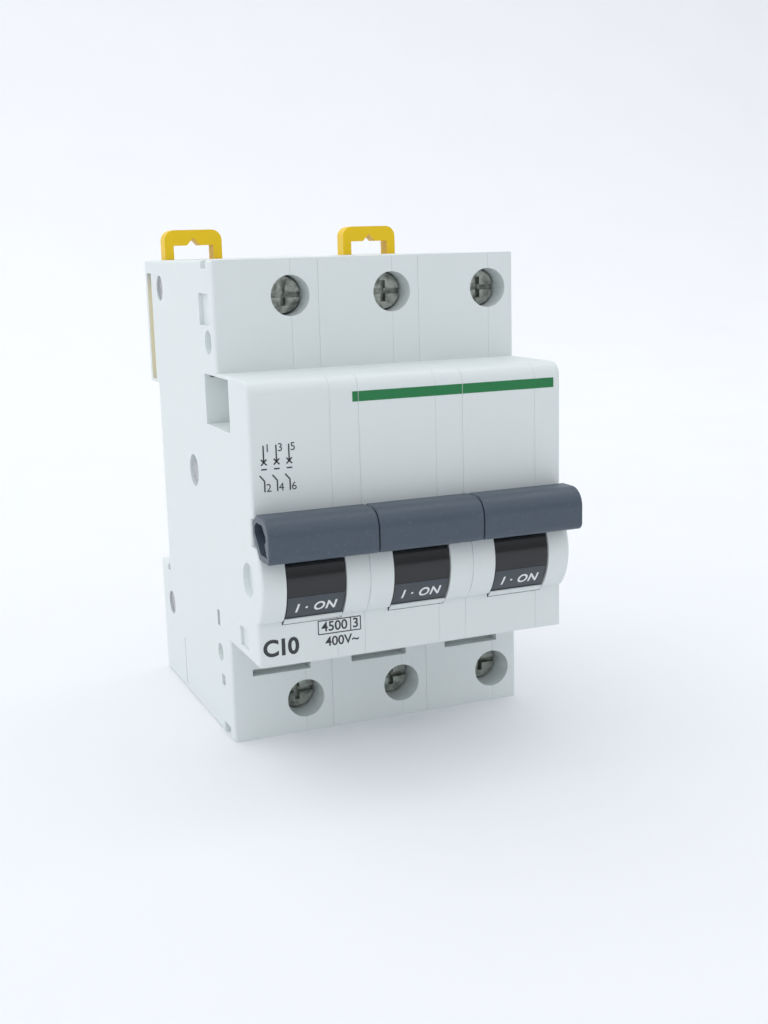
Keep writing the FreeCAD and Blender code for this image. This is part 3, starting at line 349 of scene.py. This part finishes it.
def letters(text, size, slant=0.0, weight=0.0, spacing=1.0, row=0.0):
    """Points and faces of a line of text, centred on the origin, in its own plane with its thickness
    along the third axis. size is the height of its capitals, weight the extra boldness as a share of it,
    and row the height of the rows that the faces are cut into, so that they can bend."""
    curve = bpy.data.curves.new("Letters", "FONT")
    curve.body = text
    curve.size = size / CAPITALS
    curve.shear = slant
    curve.offset = size * weight
    curve.space_character = spacing
    curve.align_x = "CENTER"
    curve.align_y = "CENTER"
    curve.extrude = PRINT_LIFT / 2
    curve.resolution_u = 6
    holder = bpy.data.objects.new("Letters", curve)
    bpy.context.scene.collection.objects.link(holder)
    bpy.context.view_layer.update()
    mesh = bpy.data.meshes.new_from_object(holder)
    bpy.data.objects.remove(holder)
    if row:
        work = bmesh.new()
        work.from_mesh(mesh)
        for cut in np.arange(-size, size, row):
            bmesh.ops.bisect_plane(work, geom=work.verts[:] + work.edges[:] + work.faces[:], dist=1e-7,
                                   plane_co=(0, cut, 0), plane_no=(0, 1, 0))
        work.to_mesh(mesh)
        work.free()
    points = np.empty(len(mesh.vertices) * 3)
    mesh.vertices.foreach_get("co", points)
    faces = [list(face.vertices) for face in mesh.polygons]
    bpy.data.meshes.remove(mesh)
    return points.reshape(-1, 3), faces


def print_letters(name, text, size, x, y, z, material, body, weight=0.0, spacing=1.0):
    """Text on a face that looks towards -Y: its plane's axes become x and z, and its thickness -y."""
    points, faces = letters(text, size, 0.0, weight, spacing)
    placed = np.stack([points[:, 0] + x, y - PRINT_LIFT / 2 - points[:, 2], points[:, 1] + z], -1)
    return make_piece(name, placed, faces, material, body)


def on_drum(x, turn, reach):
    """Points about the toggle's axis: y = -reach cos(turn) and z = reach sin(turn) from it."""
    return np.stack([x, PIVOT[1] - reach * np.cos(turn), PIVOT[2] + reach * np.sin(turn)], -1)


def wrap_letters(name, text, size, x, angle, radius, material, body):
    """Bold slanted text wrapped on a drum about the toggle's axis: its height runs along the arc, so a
    point's angle is the text's angle plus its height over the radius, and its thickness is radial."""
    points, faces = letters(text, size, 0.18, 0.035, 1.12, size / 8)
    turn = angle + points[:, 1] / radius
    reach = radius + PRINT_LIFT / 2 + points[:, 2]
    return make_piece(name, on_drum(points[:, 0] + x, turn, reach), faces, material, body)


def drum_patch(left, right, low, high, radius, thick):
    """A curved plate on a drum about the toggle's axis, between two x and two angles."""
    x, turn = np.meshgrid(np.linspace(left, right, 5), np.linspace(low, high, 24))
    return slab(on_drum(x, turn, radius + thick), on_drum(x, turn, radius))


# ---------------------------------------------------------------- operators


class BREAKER_OT_shells(bpy.types.Operator):
    """Finish the moulded shells and the rail clips"""

    bl_idname = "breaker.shells"
    bl_label = "Shells and Rail Clips"

    def execute(self, context):
        settings = context.scene.breaker_shell
        # glass-filled polyamide, moulded against a spark-eroded face: dull white with a fine even grain
        shell = moulded("Polyamide_white_moulded", settings.colour, 0.42, settings.grain, 0.03, 0.025)
        dress([f"{part}_{pole}" for part in ("case", "cover") for pole in POLES], shell)
        for pole in POLES:
            low, high = corners(f"toggle_{pole}")
            reach = high[1] - PIVOT[1] + LIP_PLAY
            lip = drum_patch(low[0], high[0], settings.lip_low, settings.lip_top, reach, LIP_THICK)
            make_piece(f"window_lip_{pole}", *lip, shell, "housing")
        # acetal: smooth and slightly waxy, so it takes a soft highlight
        clip = moulded("Acetal_yellow_moulded", settings.clip_colour, 0.45, 0.5, 0.02, 0.08)
        dress(["rail_clip_1", "rail_clip_3"], clip)
        return {"FINISHED"}


class BREAKER_OT_handle(bpy.types.Operator):
    """Finish the toggles and their covers, and add their marked bands"""

    bl_idname = "breaker.handle"
    bl_label = "Handle and Toggles"

    def execute(self, context):
        settings = context.scene.breaker_handle
        # polyamide with carbon black, moulded in a textured tool: slate grey with a broad soft highlight
        cover = moulded("Polyamide_slate_moulded", settings.cover_colour, 0.4, 0.3, 0.05, 0.12, speck=0.35)
        dress([f"handle_cover_{pole}" for pole in POLES], cover)
        # polycarbonate from a polished tool: deep black that mirrors its surroundings
        drum = moulded("Polycarbonate_black_polished", settings.drum_colour, 0.16, 0.8, 0.008, 0.15, ior=1.58)
        dress([f"toggle_{pole}" for pole in POLES], drum)
        band = ink("Ink_slate_band", settings.band_colour, 0.35)
        white = ink("Ink_white_letters", "#EDEFF0")
        for pole in POLES:
            low, high = corners(f"toggle_{pole}")
            middle = (low[0] + high[0]) / 2
            radius = high[1] - PIVOT[1]
            shape = drum_patch(low[0] + BAND_INSET, high[0] - BAND_INSET, settings.band_low, settings.band_top,
                               radius, BAND_THICK)
            make_piece(f"toggle_band_{pole}", *shape, band, "handle")
            angle = (settings.band_low + settings.band_top) / 2 + math.radians(0.5)
            wrap_letters(f"on_mark_{pole}", "I · ON", settings.letter_size, middle, angle, radius + BAND_THICK,
                         white, "handle")
            wrap_letters(f"off_mark_{pole}", "O · OFF", settings.letter_size, middle, OFF_ANGLE, radius, white,
                         "handle")
        return {"FINISHED"}


class BREAKER_OT_mechanism(bpy.types.Operator):
    """Finish the terminals and the pieces inside"""

    bl_idname = "breaker.mechanism"
    bl_label = "Terminals and Mechanism"

    def execute(self, context):
        # zinc-plated steel: grey-green passivation, marked by the tool that pressed it; its dark patches are
        # partly the heads' own rough speckle and partly painted shade of the deep holes they sit in
        zinc = metal("Steel_zinc_plated", "#B9BEB6", 0.4, 0.3, "#4A4F47", 0.6)
        screws = [f"{side}_{part}_{pole}" for side in SIDES for part in ("screw", "cage") for pole in POLES]
        dress(screws, zinc)
        # plain rolled or turned steel: neutral grey with fine marks along X
        plain = metal("Steel_plain_turned", "#B4B6B8", 0.28, 0.15, "#6C6A66", 0.4, (0.2, 1.0, 1.0))
        steel = [f"{part}_{pole}" for part in ("yoke", "plunger", "arc_chute", "link") for pole in POLES]
        dress(steel + ["toggle_pins", "pivot_pins", "rivets", "handle_tie_rod"], plain)
        spring = metal("Spring_wire_drawn", "#8C8E92", 0.25, 0.1, "#55534E", 0.3)
        dress([f"plunger_spring_{pole}" for pole in POLES] + ["toggle_springs"], spring)
        copper = metal("Copper_bare_rolled", "#C98A63", 0.3, 0.25, "#7A4A31", 0.5)
        dress([f"contact_arm_{pole}" for pole in POLES], copper)
        dress(["line_strips", "fixed_contacts", "load_strips", "braids"], copper)
        # varnish over the copper gives the winding a redder, glossier face
        winding = metal("Copper_enamelled_wire", "#A85A32", 0.18, 0.4, "#6E3317", 0.4)
        dress([f"coil_{pole}" for pole in POLES], winding)
        dress(["bimetals"], metal("Bimetal_rolled", "#A8988A", 0.3, 0.2, "#6F6258", 0.4))
        lever = moulded("Polyester_brown_moulded", "#6B5A48", 0.45, 0.3, 0.03, 0.1)
        dress([f"trip_lever_{pole}" for pole in POLES], lever)
        return {"FINISHED"}


class BREAKER_OT_prints(bpy.types.Operator):
    """Add the stripe, the pole symbols and the ratings printed on the front"""

    bl_idname = "breaker.prints"
    bl_label = "Printed Markings"

    def execute(self, context):
        settings = context.scene.breaker_print
        green = ink("Ink_green_stripe", settings.stripe_colour)
        dark = ink("Ink_dark_marks", settings.ink_colour)
        left, right = MODULE_LEFT[0], MODULE_RIGHT[-1]
        low = settings.stripe_rise - settings.stripe_width / 2
        high = settings.stripe_rise + settings.stripe_width / 2
        for pole in POLES:
            start = max(MODULE_LEFT[pole - 1] + STRIPE_SEAM, left + STRIPE_LEFT)
            end = min(MODULE_RIGHT[pole - 1] - STRIPE_SEAM, right - STRIPE_RIGHT)
            make_piece(f"stripe_{pole}", *flat_patch(start, end, low, high, NOSE_FRONT), green, "housing")
        self.pole_symbols(left, dark)
        self.ratings(left, dark)
        return {"FINISHED"}

    def pole_symbols(self, left, dark):
        """For each pole: a line from its terminal, the cross of a breaker, an open blade and a lower line."""
        line, pitch, arm, blade_reach = 0.22 * MM, 2.05 * MM, 0.45 * MM, 0.75 * MM
        top, cross, blade, foot = 53.2 * MM, 50.6 * MM, 48.6 * MM, 46 * MM
        hinge, bar = blade - 0.9 * MM, cross - 1.1 * MM
        size, beside = 1.25 * MM, 0.65 * MM
        for pole in POLES:
            x = left + 2.2 * MM + (pole - 1) * pitch
            lines = (
                (x, top, x, cross),
                (x - arm, cross + arm, x + arm, cross - arm),
                (x - arm, cross - arm, x + arm, cross + arm),
                (x - blade_reach, blade, x, hinge),
                (x, hinge, x, foot),
                (x - arm, bar, x + arm, bar),
            )
            shapes = [stroke(*ends, line, NOSE_FRONT) for ends in lines]
            make_piece(f"pole_symbol_{pole}", *gather(shapes), dark, "housing")
            for number, z in ((2 * pole - 1, top - 0.5 * MM), (2 * pole, foot + 0.55 * MM)):
                print_letters(f"terminal_number_{number}", str(number), size, x + beside, NOSE_FRONT, z, dark,
                              "housing")

    def ratings(self, left, dark):
        """The trip rating, the voltage, and the breaking capacity in its box."""
        def rating(name, text, size, x, z, weight, spacing=1.0):
            print_letters(name, text, size * MM, left + x * MM, PLATE_FRONT, z * MM, dark, "housing", weight,
                          spacing)

        rating("current_rating", "C10", 2.6, 3.7, 20.9, 0.045, 0.9)
        rating("voltage_rating", "400V~", 1.5, 14, 20.8, 0.02)
        start, split, end = 10, 15.5, 17.2
        low, high, line = 22.2 * MM, 24.4 * MM, 0.16 * MM
        sides = [(left + start * MM, z, left + end * MM, z) for z in (low, high)]
        sides += [(left + x * MM, low, left + x * MM, high) for x in (start, split, end)]
        box = gather([stroke(*side, line, PLATE_FRONT) for side in sides])
        make_piece("capacity_box", *box, dark, "housing")
        rating("capacity_rating", "4500", 1.55, (start + split) / 2, 23.3, 0.02)
        rating("capacity_class", "3", 1.55, (split + end) / 2, 23.3, 0.02)


class BREAKER_OT_stage(bpy.types.Operator):
    """Set up the floor, the light and the camera"""

    bl_idname = "breaker.stage"
    bl_label = "Stage"

    def execute(self, context):
        self.floor()
        self.light(context.scene)
        self.camera(context.scene)
        return {"FINISHED"}

    def floor(self):
        """A wide sheet that rises behind the object in a quarter round: height is a function of depth."""
        front, rear, bend, span, wall = -0.5, 0.5, 0.6, 2.0, 3
        run = np.linspace(0, bend, 16)
        rise = bend - np.sqrt(np.maximum(bend ** 2 - run ** 2, 0))
        depth = np.concatenate([[-span, front], rear + run, [rear + bend]])
        height = np.concatenate([[0, 0], rise, [wall]])
        x, y = np.meshgrid([-span, span], depth)
        z = np.repeat(height[:, None], 2, 1)
        points = np.stack([x, y, z], -1).reshape(-1, 3)
        number = np.arange(len(points)).reshape(-1, 2)
        faces = np.stack([number[:-1, 0], number[:-1, 1], number[1:, 1], number[1:, 0]], -1)
        mesh = bpy.data.meshes.new("floor")
        mesh.from_pydata(points, [], faces.tolist())
        mesh.polygons.foreach_set("use_smooth", [True] * len(mesh.polygons))
        made, tree, shader, place = new_material("Paper_white_matt", Roughness=0.85)
        tone = blend(tree, noise(tree, place, 60, 2.0), linear("#EFF0F2"), linear("#F2F3F5"))
        tree.links.new(tone, shader.inputs["Base Color"])
        mesh.materials.append(made)
        sheet = bpy.data.objects.new("floor", mesh)
        bpy.context.scene.collection.objects.link(sheet)

    def light(self, scene):
        world = bpy.data.worlds.new("Studio")
        world.use_nodes = True
        tree = world.node_tree
        ray = add_node(tree, "ShaderNodeTexCoord").outputs["Generated"]
        split = add_node(tree, "ShaderNodeSeparateXYZ", None, {0: ray})
        # the room is brightest overhead, and a little brighter behind the object and on its left
        overhead = spread(tree, split.outputs["Z"], 0.0, 0.7, 0.31, 1.02)
        behind = spread(tree, split.outputs["Y"], -0.4, 0.7, 0.0, 0.25)
        beside = spread(tree, split.outputs["X"], -0.9, 0.3, 0.36, 0.0)
        sides = add_node(tree, "ShaderNodeMath", {"operation": "ADD"}, {0: behind, 1: beside})
        level = add_node(tree, "ShaderNodeMath", {"operation": "ADD"}, {0: overhead, 1: sides.outputs[0]})
        sky = tree.nodes["Background"]
        sky.inputs["Color"].default_value = linear("#F6F9FD")
        tree.links.new(level.outputs[0], sky.inputs["Strength"])
        scene.world = world
        # soft boxes: name, place, aim, size in metres, watts
        boxes = (
            ("key_left", (-0.35, 0.75, 1.0), (0, 0, 0.04), 1.0, 2.8),
            ("backdrop", (0.6, 0.3, 1.2), (0.4, 1.1, 0.4), 0.7, 1.6),
        )
        for name, place, aim, size, power in boxes:
            lamp = bpy.data.lights.new(name, "AREA")
            lamp.shape = "SQUARE"
            lamp.size = size
            lamp.energy = power
            holder = bpy.data.objects.new(name, lamp)
            away = np.array(place) - np.array(aim)
            holder.matrix_world = look(np.array(place), -away / np.linalg.norm(away), 0)
            scene.collection.objects.link(holder)

    def camera(self, scene):
        settings = scene.breaker_stage
        lens = bpy.data.cameras.new("camera")
        lens.sensor_width = 36
        lens.lens = settings.lens
        lens.clip_start = 0.01
        holder = bpy.data.objects.new("camera", lens)
        level = math.cos(settings.descent)
        forward = np.array([math.sin(settings.azimuth) * level, math.cos(settings.azimuth) * level,
                            -math.sin(settings.descent)])
        holder.matrix_world = look(np.array(settings.place), forward, settings.roll)
        scene.collection.objects.link(holder)
        scene.camera = holder
        scene.view_settings.view_transform = "Standard"


def look(place, forward, roll):
    """The matrix of something that looks along its own -Z: forward, its right side level and then rolled."""
    right = np.cross(forward, (0, 0, 1))
    right /= np.linalg.norm(right)
    up = np.cross(right, forward)
    rolled = math.cos(roll) * right + math.sin(roll) * up
    raised = math.cos(roll) * up - math.sin(roll) * right
    columns = np.eye(4)
    columns[:3, :4] = np.stack([rolled, raised, -forward, place], -1)
    return Matrix(columns.tolist())


class BREAKER_PT_panel(bpy.types.Panel):
    """The steps that build the breaker's looks"""

    bl_label = "Circuit Breaker"
    bl_idname = "BREAKER_PT_panel"
    bl_space_type = "VIEW_3D"
    bl_region_type = "UI"
    bl_category = "Breaker"

    def draw(self, context):
        for step in STEPS:
            self.layout.operator(step.bl_idname)
        for group, owner in GROUPS:
            for name in owner.__annotations__:
                self.layout.prop(getattr(context.scene, group), name)


GROUPS = (
    ("breaker_shell", ShellSettings),
    ("breaker_handle", HandleSettings),
    ("breaker_print", PrintSettings),
    ("breaker_stage", StageSettings),
)
STEPS = (BREAKER_OT_shells, BREAKER_OT_handle, BREAKER_OT_mechanism, BREAKER_OT_prints, BREAKER_OT_stage)


def register():
    for group, owner in GROUPS:
        bpy.utils.register_class(owner)
        setattr(bpy.types.Scene, group, bpy.props.PointerProperty(type=owner))
    for step in STEPS:
        bpy.utils.register_class(step)
    bpy.utils.register_class(BREAKER_PT_panel)


def unregister():
    bpy.utils.unregister_class(BREAKER_PT_panel)
    for step in reversed(STEPS):
        bpy.utils.unregister_class(step)
    for group, owner in reversed(GROUPS):
        delattr(bpy.types.Scene, group)
        bpy.utils.unregister_class(owner)


def main():
    register()
    bpy.ops.breaker.shells()
    bpy.ops.breaker.handle()
    bpy.ops.breaker.mechanism()
    bpy.ops.breaker.prints()
    bpy.ops.breaker.stage()


if __name__ == "__main__":
    main()
